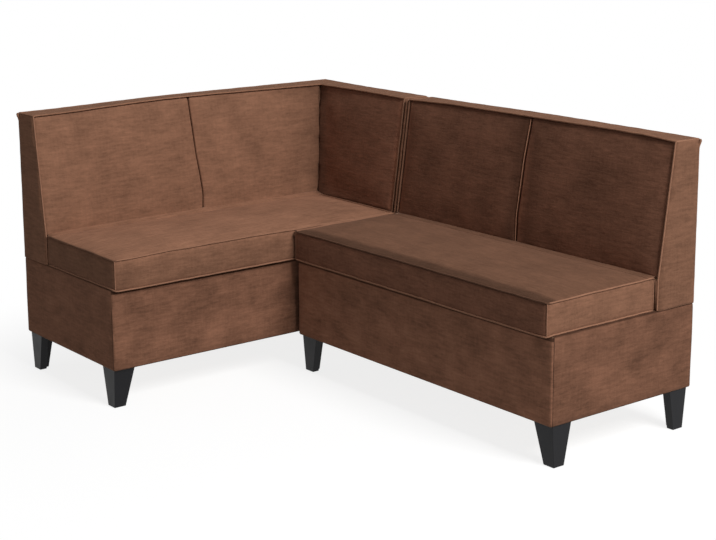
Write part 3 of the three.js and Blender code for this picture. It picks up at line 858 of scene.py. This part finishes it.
def make_pad(name, node, place, start, end, run, pile, mitre=None, leaning=None, cloth=None):
    """A leaning back pad, stuffed between its seams. mitre is the end that meets the other wall's back.
    leaning is the place of a seam that was sewn a little aslant, heights, and how far it leans there."""
    low = Vector((start + SEAM_GAP, 0, PAD_FOOT))
    top = BACK_TOP - COVER - 0.0004
    high = Vector((end if mitre == "right" else end - SEAM_GAP, PAD_THICKNESS, top))
    bm = block(low, high)
    edges = [e for e in bm.edges if all(v.co.y < NEAR for v in e.verts)]
    edges = [e for e in edges if any(v.co.z > PAD_FOOT + 0.1 for v in e.verts)]
    round_over(bm, edges, PAD_ROUND)
    cut_grid(bm, low, high, PAD_CELL)
    slope = (BACK_DEPTH_SEAT - BACK_DEPTH_TOP) / (BACK_TOP - SEAT_EDGE)
    for point in bm.verts:
        point.co.y += RAIL_FRONT + (point.co.z - SEAT_EDGE) * slope
    if mitre:
        side, meeting = (1, CORNER_LENGTH + MITRE_PRESS) if mitre == "right" else (-1, -MITRE_PRESS)
        cut = bmesh.ops.bisect_plane(
            bm,
            geom=everything(bm),
            dist=1e-6,
            plane_co=(meeting, UNIT_DEPTH, 0),
            plane_no=(side, -1, 0),
            clear_outer=True,
        )
        rim = [e for e in cut["geom_cut"] if isinstance(e, bmesh.types.BMEdge)]
        bmesh.ops.edgeloop_fill(bm, edges=rim)
    bm.verts.index_update()

    def held(point):
        depth = back_depth(point.z)
        if point.y > UNIT_DEPTH - depth + 0.012:
            return 1.0
        from_left = point.x - (depth if mitre == "left" else low.x)
        from_right = (CORNER_LENGTH - depth if mitre == "right" else high.x) - point.x
        edge = min(from_left, from_right, high.z - point.z, point.z - low.z)
        return PAD_SEWN if edge < 0.004 else 0.0

    soft = [v for v in bm.verts if held(v.co) == 0]
    fill_with_foam(bm, held, PAD_PRESSURE, PAD_SWELL)
    for _ in range(3):
        bmesh.ops.smooth_vert(bm, verts=soft, factor=0.5, use_axis_y=True)
    for point in bm.verts:
        at = point.co
        if leaning:
            seam, *lean = leaning
            at.x += np.interp(at.z, *lean) * max(0.0, 1 - abs(at.x - seam) / LEAN_REACH)
        if at.y < UNIT_DEPTH - back_depth(at.z) + 0.010:
            at.y -= PRESSED_FOOT * max(0.0, 1 - (at.z - PAD_FOOT) / PRESSED_HEIGHT)
        at.y += ripple(Vector((at.x, 0.2, at.z)) + Vector((0, len(name), 0)), 0.13, 0.0012).y
    bmesh.ops.transform(bm, matrix=place, verts=bm.verts)
    for point in bm.verts:
        point.co = drawn(point.co)
    piece = new_mesh_object(name, bm)
    make_finer(piece)
    dress(piece, "bench", cloth or velour, run, pile)
    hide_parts(node)
    return piece


def wall_point(stop, depth, z):
    """A point at a depth from the walls. A stop is a place along +X or None, and along +Y or None."""
    x, y = stop
    return (WALL_X - depth if x is None else x, WALL_Y - depth if y is None else y, z)


def band(bm, sections):
    """Walls between open rows of points that each have the same count."""
    rows = []
    for section in sections:
        points = [bm.verts.new(p) for p in section]
        rows.append([bm.edges.new(pair) for pair in zip(points, points[1:])])
    for first, second in zip(rows, rows[1:]):
        bmesh.ops.bridge_loops(bm, edges=first + second)


def make_back_cover(unit, stops, centre, run, pile):
    """The cloth over a back's wall side, top and ends."""
    bm = bmesh.new()
    band(bm, [[wall_point(stop, *at) for at in PROFILE] for stop in stops])
    for stop in (stops[0], stops[-1]):
        bm.faces.new([bm.verts.new(wall_point(stop, *at)) for at in END_PROFILE])
    bmesh.ops.remove_doubles(bm, verts=bm.verts, dist=1e-5)
    turn_outward(bm, centre)
    folds = [e for e in bm.edges if len(e.link_faces) == 2 and e.calc_face_angle() > 0.5]
    round_over(bm, folds, COVER_ROUND)
    low = Vector([min(v.co[i] for v in bm.verts) for i in range(3)])
    high = Vector([max(v.co[i] for v in bm.verts) for i in range(3)])
    cut_grid(bm, low, high, COVER_CELL)
    turn_outward(bm, centre)
    cut_across(bm, (0, 0, BASE_TOP + 0.006), 2)
    bm.normal_update()
    for point in bm.verts:
        if point.co.z < BASE_TOP + NEAR:
            point.co += point.normal * 0.0016
        elif not point.is_boundary:
            point.co += point.normal * (0.0008 + 0.0010 * noise.noise(point.co / 0.12))
        point.co = drawn(point.co)
    piece = new_mesh_object(f"{unit}_back_upholstery", bm)
    thicken(piece)
    dress(piece, "bench", velour, run, pile)
    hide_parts(f"{unit}_back_cover")


# Bases

def make_base(name, place, length, run, pile):
    """The cloth round a base box, drawn tight over its edges and turned in over the box's rim."""
    low = Vector((0, 0, UNDERSIDE))
    high = Vector((length, UNIT_DEPTH, BASE_TOP))
    bm = block(low, high)
    level = [f for f in bm.faces if abs(f.normal.z) > 0.5]
    bmesh.ops.delete(bm, geom=level, context="FACES_ONLY")
    round_uprights(bm, BASE_ROUND)
    cut_grid(bm, low, high, COVER_CELL)
    rows = TUCK_FROM, LID_SHADE_FROM, LID_SHADE_FULL, EDGE_ROW
    for height in (UNDERSIDE + EDGE_ROW, *(BASE_TOP - row for row in rows)):
        cut_across(bm, Vector((0, 0, height)), 2)
    bm.normal_update()
    for point in bm.verts:
        at = point.co
        if UNDERSIDE + NEAR < at.z < BASE_TOP - NEAR:
            bumps = noise.noise(Vector((at.x + len(name), at.y, at.z)) / 0.14)
            at += point.normal * (0.0010 + 0.0012 * bumps)
        else:
            at -= point.normal * EDGE_TUCK
        high_up = max(0.0, (at.z - BASE_TOP + TUCK_FROM) / TUCK_FROM)
        at -= point.normal * EDGE_TUCK * high_up ** 2
    edge = [e for e in bm.edges if e.is_boundary and e.verts[0].co.z > BASE_TOP - NEAR]
    for inset, height in ((COVER, RIM_TOP), (RIM_WIDTH, RIM_TOP), (RIM_WIDTH + 0.0006, RIM_TOP - RIM_DEPTH)):
        made = bmesh.ops.extrude_edge_only(bm, edges=edge)["geom"]
        edge = [e for e in made if isinstance(e, bmesh.types.BMEdge) and e.is_boundary]
        for point in {v for e in edge for v in e.verts}:
            point.co.x = min(max(point.co.x, inset), length - inset)
            point.co.y = min(max(point.co.y, inset), UNIT_DEPTH - inset)
            point.co.z = height
    bmesh.ops.remove_doubles(bm, verts=bm.verts, dist=1e-5)
    turn_outward(bm, (low + high) / 2)
    piece = new_mesh_object(f"{name}_base_upholstery", bm, place)
    thicken(piece)
    dress(piece, "bench", velour_base, run, pile)
    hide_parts(f"{name}_base_cover")

    def darkened_edges(point):
        """1 where the cloth is plain, less where painted shade lies under the lid's edge,
        and less along the lower edge.
        """
        if point.z > BASE_TOP - LID_SHADE_FULL - NEAR and (point.y < EDGE_ROW or point.z > BASE_TOP - NEAR):
            return LID_PAINTED_SHADE
        return LOWER_EDGE_DARKER if point.z < UNDERSIDE + 0.002 else 1.0

    paint_light_and_shade(piece, place, darkened_edges)
    # A thin dark line in each end seam: painted shadow of the seam's groove
    for side, x in (("left", -0.0002), ("right", length + 0.0002)):
        seam = [place @ p for p in path((x, 0.0050, UNDERSIDE + 0.001), (x, 0.0050, BASE_TOP - 0.001))]
        welt(f"{name}_base_seam_{side}", seam, SEAM_SHADOW_RADIUS, material=seam_groove_shadow)


# Cloth over rails and hinges

def cover_strip(name, place, left, right, top, run, thinner=0.0):
    """A flat strip of the cloth, glued to the front of a rail."""
    bm = block((left, STRIP_FRONT + thinner, BASE_TOP + 0.001), (right, STRIP_REAR - thinner, top))
    dress(new_mesh_object(name, bm, place), "bench", velour, run)


def crease_flap(unit, place, start, end, run, pile, levels):
    """The cloth over a hinge, from the seat up to where it tucks in below the pads.
    levels is how high it reaches at the pads, along the unit."""
    front, rear = RAIL_FRONT - FLAP_REACH, RAIL_FRONT + 0.003
    low, high = Vector((start, front, 0)), Vector((end, rear, FLAP_THICKNESS))
    bm = block(low, high)
    cut_grid(bm, low, high, FLAP_CELL, axes=(1,))
    cut_grid(bm, low, high, COVER_CELL, axes=(0,))
    bpy.context.view_layer.update()
    rests_on = {}
    for point in bm.verts:
        x = min(point.co.x, end - 0.02)
        if x not in rests_on:
            above = place @ Vector((x, front, 0.6))
            rests_on[x] = seats[unit].ray_cast(above, (0, 0, -1))[1].z - FLAP_THICKNESS / 2
        share = (point.co.y - front) / (rear - front)
        point.co.z += rests_on[x] + (np.interp(x, *levels) - rests_on[x]) * share ** 1.4
    flap = dress(new_mesh_object(f"{unit}_crease_cloth", bm, place), None, velour, run, pile)
    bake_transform(flap)


# Bases, seats, pads and covers in their places

# The three factors given to each piece paint its panels lighter or darker by which way they face, along X, Y
# and Z: painted light and shade
make_base("corner", CORNER, CORNER_LENGTH, "X", pile=(0.98, 0.80, 0.9))
make_base("straight", STRAIGHT, STRAIGHT_LENGTH, "Y", pile=(1.14, 0.70, 0.9))
seats = {
    "corner": make_seat(
        "corner",
        CORNER,
        0.003,
        CORNER_LENGTH - BACK_DEPTH_SEAT - CREASE,
        "X",
        pile=(0.84, 0.86, 1.28),
        front_rise=CORNER_RISE,
        front_drop=CORNER_DROP,
        dark_side=lambda p: p.x < 0.010,
        dim_top=0.66,
    ),
    "straight": make_seat(
        "straight",
        STRAIGHT,
        0.001,
        STRAIGHT_LENGTH - END_INSET,
        "Y",
        pile=(0.84, 0.90, 0.72),
        front_rise=STRAIGHT_RISE,
        front_drop=STRAIGHT_DROP,
        dark_side=lambda p: p.y < SEAT_FRONT + 0.006,
        dim_top=0.44,
    ),
}

rear_back = dict(run="X", pile=(1, 1, 1), leaning=(CORNER_SEAM, *CORNER_LEAN))
make_pad("corner_back_padding_left", "corner_back_pad_left", CORNER, COVER, CORNER_SEAM, **rear_back)
by_the_corner = make_pad(
    "corner_back_padding_right",
    "corner_back_pad_right",
    CORNER,
    CORNER_SEAM,
    CORNER_LENGTH,
    mitre="right",
    **rear_back,
)
on_the_return = make_pad(
    "return_padding",
    "corner_return_pad",
    RETURN,
    0,
    UNIT_DEPTH - COVER,
    "Y",
    pile=(0.95, 1, 1),
    mitre="left",
    cloth=velour_shaded,
)
straight_back = dict(
    run="Y", pile=(0.90, 1, 1), cloth=velour_shaded, leaning=(STRAIGHT_SEAM, *STRAIGHT_LEAN)
)
left_of_seam = make_pad(
    "straight_back_padding_left", "straight_back_pad_left", STRAIGHT, COVER, STRAIGHT_SEAM, **straight_back
)
right_of_seam = make_pad(
    "straight_back_padding_right",
    "straight_back_pad_right",
    STRAIGHT,
    STRAIGHT_SEAM,
    STRAIGHT_LENGTH - COVER,
    **straight_back,
)

# Painted shade in the inner corner and beside the seams, painted light at the pads' ends, and painted light
# and shade on the seats' fronts
paint_light_and_shade(
    by_the_corner,
    CORNER,
    lambda p: np.interp(CORNER_LENGTH - back_depth(p.z) - p.x, *REAR_INNER_SHADE),
)
paint_light_and_shade(
    on_the_return,
    RETURN,
    lambda p: np.interp(p.x - back_depth(p.z), *RETURN_INNER_SHADE)
    * np.interp(UNIT_DEPTH - p.x, *RETURN_END_SHADE),
)
paint_light_and_shade(
    left_of_seam,
    STRAIGHT,
    lambda p: np.interp(STRAIGHT_SEAM - p.x, *LEFT_OF_SEAM_SHADE) * np.interp(p.x, *STRAIGHT_END_SHADE),
)
paint_light_and_shade(right_of_seam, STRAIGHT, lambda p: np.interp(p.x - STRAIGHT_SEAM, *RIGHT_OF_SEAM_SHADE))
paint_light_and_shade(seats["corner"], CORNER, lambda p: np.interp(p.z, *CORNER_SEAT_SHADE) if p.y < -0.008 else 1)
paint_light_and_shade(
    seats["straight"],
    STRAIGHT,
    lambda p: np.interp(p.y, *STRAIGHT_SEAT_SHADE) if p.z > SEAT_EDGE - 0.002 else 1,
)

inner_corner = CORNER_LENGTH - BACK_DEPTH_SEAT
crease_flap("corner", CORNER, 0.006, inner_corner - 0.001, "X", (0.84, 0.86, 1.20), CORNER_FLAP)
crease_flap(
    "straight", STRAIGHT, 0.004, STRAIGHT_LENGTH - END_INSET - 0.003, "Y", (0.74, 0.90, 0.70), STRAIGHT_FLAP
)
over_rail = SEAT_EDGE + 0.001
cover_strip("corner_rail_turn_in", CORNER, inner_corner - CORNER_TURN_IN, inner_corner, over_rail, "X")
cover_strip("return_rail_cloth", RETURN, BACK_DEPTH_SEAT, UNIT_DEPTH - COVER, over_rail, "Y", STRIP_STEP)

return_end = WALL_Y - UNIT_DEPTH
make_back_cover(
    "corner",
    [(-WALL_X, None), (None, None), (None, return_end)],
    Vector((WALL_X - 0.05, WALL_Y - 0.05, 0.6)),
    "X",
    (0.98, 0.86, 0.95),
)
make_back_cover(
    "straight",
    [(None, STRAIGHT_LEFT), (None, STRAIGHT_RIGHT)],
    Vector((WALL_X - 0.05, 0, 0.6)),
    "Y",
    (0.95, 0.83, 0.90),
)


# Welts of the backs

def finish_end(name, place, x, outward):
    """Welts round a back's end with the ear at its top rear corner, and the cloth turned in at its front."""
    at = x - outward * SET_IN
    low = BASE_TOP + 0.003
    front = path((at, FRONT_AT_TOP, TOP_WELT), (at, FRONT_AT_SEAT, SEAT_EDGE), (at, FRONT_AT_SEAT, low))
    top = path((at, FRONT_AT_TOP, TOP_WELT), (at, REAR_EDGE, TOP_WELT))
    ear_foot = TOP_WELT - EAR_HEIGHT
    rear = path((at, REAR_EDGE, low), (at, REAR_EDGE, ear_foot))
    swell = [1] * len(rear)
    for out, back, rise, thickness in EAR:
        rear.append(Vector((at + outward * out, REAR_EDGE + back, ear_foot + EAR_HEIGHT * rise)))
        swell.append(thickness)
    for side, line in (("front", front), ("top", top), ("rear", rear)):
        points = [drawn(place @ p) for p in line]
        welt(f"{name}_welt_{side}", points, swell=swell if side == "rear" else None)
    left, right = sorted((x - outward * END_TURN_IN, x - outward * COVER))
    cover_strip(f"{name}_turn_in", place, left, right, SEAT_EDGE, "X")


def finish_top(name, stops):
    """Welts along the front and rear top edges of a back."""
    for side, depth in (("front", UNIT_DEPTH - FRONT_AT_TOP), ("rear", SET_IN)):
        line = path(*(wall_point(stop, depth, TOP_WELT) for stop in stops))
        welt(f"{name}_welt_top_{side}", [drawn(p) for p in line])


finish_top("corner_back", [(-WALL_X + SET_IN, None), (None, None), (None, return_end + SET_IN)])
finish_top("straight_back", [(None, STRAIGHT_LEFT - SET_IN), (None, STRAIGHT_RIGHT + SET_IN)])
finish_end("corner_back_left", CORNER, 0, -1)
finish_end("return_end", RETURN, UNIT_DEPTH, 1)
finish_end("straight_back_left", STRAIGHT, 0, -1)
finish_end("straight_back_right", STRAIGHT, STRAIGHT_LENGTH, 1)

seam = []
for z in np.linspace(*PIPING_HEIGHTS):
    x = STRAIGHT_SEAM + PIPING_OFF + np.interp(z, *STRAIGHT_LEAN)
    seam.append(drawn(STRAIGHT @ Vector((x, UNIT_DEPTH - back_depth(z) + PIPING_PROUD, z))))
piping = welt("straight_back_seam_piping", seam, SEAM_PIPING)
# The piping is painted lighter towards the top: a painted highlight of the seam's lit edge
at_seat, growth = PIPING_PAINTED_HIGHLIGHT
paint_light_and_shade(piping, STRAIGHT, lambda p: at_seat + growth * (p.z - SEAT_EDGE))

# The welts on both sides of the gap between the backs lie in its shade, which is painted on them
for name, place in (("return_end", RETURN), ("straight_back_left", STRAIGHT)):
    paint_light_and_shade(bpy.data.objects[f"{name}_welt_front"], place, lambda p: GAP_WELT_SHADE)

# Between the two backs, the cloth of the return's end bulges into the gap as a long fold
fold_front = WALL_X - BACK_DEPTH_SEAT + 0.0016
fold_top = BACK_TOP - FOLD - 0.001
fold = path(
    (fold_front, GAP_MIDDLE, BASE_TOP + 0.010),
    (fold_front, GAP_MIDDLE, SEAT_EDGE),
    (WALL_X - BACK_DEPTH_TOP + 0.0016, GAP_MIDDLE, fold_top),
    (WALL_X - FOLD - 0.002, GAP_MIDDLE, fold_top),
)
welt("return_end_fold", [drawn(p) for p in fold], FOLD, material=velour)

# Boards, hinges, buffers and feet keep their solids and get their finish
FINISH_OF_SLOT = {
    "plywood": plywood,
    "timber": softwood,
    "foot": black_lacquer,
    "steel": zinc_plate,
    "rubber": black_rubber,
}
slots = {p["node"]: p["material_slot"] for p in frame["record"]["subparts"]}
for node_name, solid in frame["nodes"].items():
    finish = FINISH_OF_SLOT.get(slots[node_name])
    if finish is None:
        continue
    solid.data.materials.clear()
    solid.data.materials.append(finish)
    if slots[node_name] == "foot":
        merge = solid.modifiers.new("merge", "WELD")
        merge.merge_threshold = 0.00005
        rounding = solid.modifiers.new("edge", "BEVEL")
        rounding.width = 0.0016
        rounding.segments = 2
        rounding.limit_method = "ANGLE"


# Floor, light and camera

def show_instead(tree, real, shown, output):
    """Join a shader to an output, with another one for the camera and glossy surfaces to look at."""
    rays = add_node(tree, "LightPath").outputs
    looked_at = sum_of(tree, rays["Is Camera Ray"], rays["Is Glossy Ray"], "MAXIMUM")
    mixed = add_node(tree, "MixShader", {0: looked_at, 1: real.outputs[0], 2: shown.outputs[0]})
    set_inputs(tree, tree.nodes[output], {"Surface": mixed.outputs[0]})


def make_floor():
    """A pale floor whose shown colour fades to the background's white away from the bench."""
    bm = bmesh.new()
    bmesh.ops.create_grid(bm, x_segments=1, y_segments=1, size=40)
    floor = new_mesh_object("floor", bm)
    material, tree, shader = new_material("pale floor")
    set_inputs(tree, shader, {"Base Color": (0.50, 0.50, 0.50, 1), "Roughness": 0.9})
    place = add_node(tree, "TexCoord").outputs["Object"]
    far = add_node(tree, "VectorMath", {0: place}, operation="LENGTH").outputs["Value"]
    values = {"Value": far, "From Min": 0.9, "From Max": 1.75, "To Min": 0.82, "To Max": 1.0}
    fade = add_node(tree, "MapRange", values, interpolation_type="SMOOTHSTEP").outputs["Result"]
    glow = add_node(tree, "Emission", {"Color": (1, 1, 1, 1), "Strength": fade})
    lit_share = times(tree, sum_of(tree, 1.0, fade, "SUBTRACT"), 1.35)
    lit_colour = add_node(tree, "CombineColor", {0: lit_share, 1: lit_share, 2: lit_share})
    lit = add_node(tree, "BsdfDiffuse", {"Color": lit_colour.outputs[0]})
    shown = add_node(tree, "AddShader", {0: glow.outputs[0], 1: lit.outputs[0]})
    show_instead(tree, shader, shown, "Material Output")
    floor.data.materials.append(material)


def make_world():
    """A white background that lights the bench only softly."""
    world = bpy.data.worlds.new("studio")
    bpy.context.scene.world = world
    world.use_nodes = True
    tree = world.node_tree
    soft = tree.nodes["Background"]
    set_inputs(tree, soft, {"Color": (1, 1, 1, 1), "Strength": 0.16})
    white = add_node(tree, "Background", {"Color": (1, 1, 1, 1), "Strength": 1.0})
    show_instead(tree, soft, white, "World Output")


def make_lamp(name, place, target, size, power):
    data = bpy.data.lights.new(name, "AREA")
    data.size = size
    data.energy = power
    lamp = add_object(name, data)
    lamp.location = place
    lamp.rotation_euler = (Vector(target) - Vector(place)).to_track_quat("-Z", "Y").to_euler()


def make_camera(place, yaw, pitch, roll, focal, centre):
    """The photograph's camera, with angles in degrees, and focal length and optical centre in its pixels."""
    data = bpy.data.cameras.new("photograph")
    data.sensor_width = SENSOR
    data.lens = focal * SENSOR / PHOTO_WIDTH
    data.shift_x = (PHOTO_WIDTH / 2 - centre[0]) / PHOTO_WIDTH
    data.shift_y = (centre[1] - PHOTO_HEIGHT / 2) / PHOTO_WIDTH
    data.clip_end = 100
    camera = add_object("photograph", data)
    camera.location = place
    turned = Matrix.Rotation(-math.radians(yaw), 4, "Z")
    aim = turned @ Matrix.Rotation(math.pi / 2 - math.radians(pitch), 4, "X")
    camera.rotation_euler = (aim @ Matrix.Rotation(math.radians(roll), 4, "Z")).to_euler()
    bpy.context.scene.camera = camera


make_floor()
make_world()
make_lamp("main light", place=(0.4, -7.4, 6.9), target=(0, 0, 0.4), size=3.6, power=880)
make_camera(
    place=(-2.9462, -3.8057, 1.6218), yaw=36.678, pitch=11.194, roll=-0.5736, focal=1569.1, centre=(308, 190)
)
bpy.context.scene.view_settings.view_transform = "Standard"
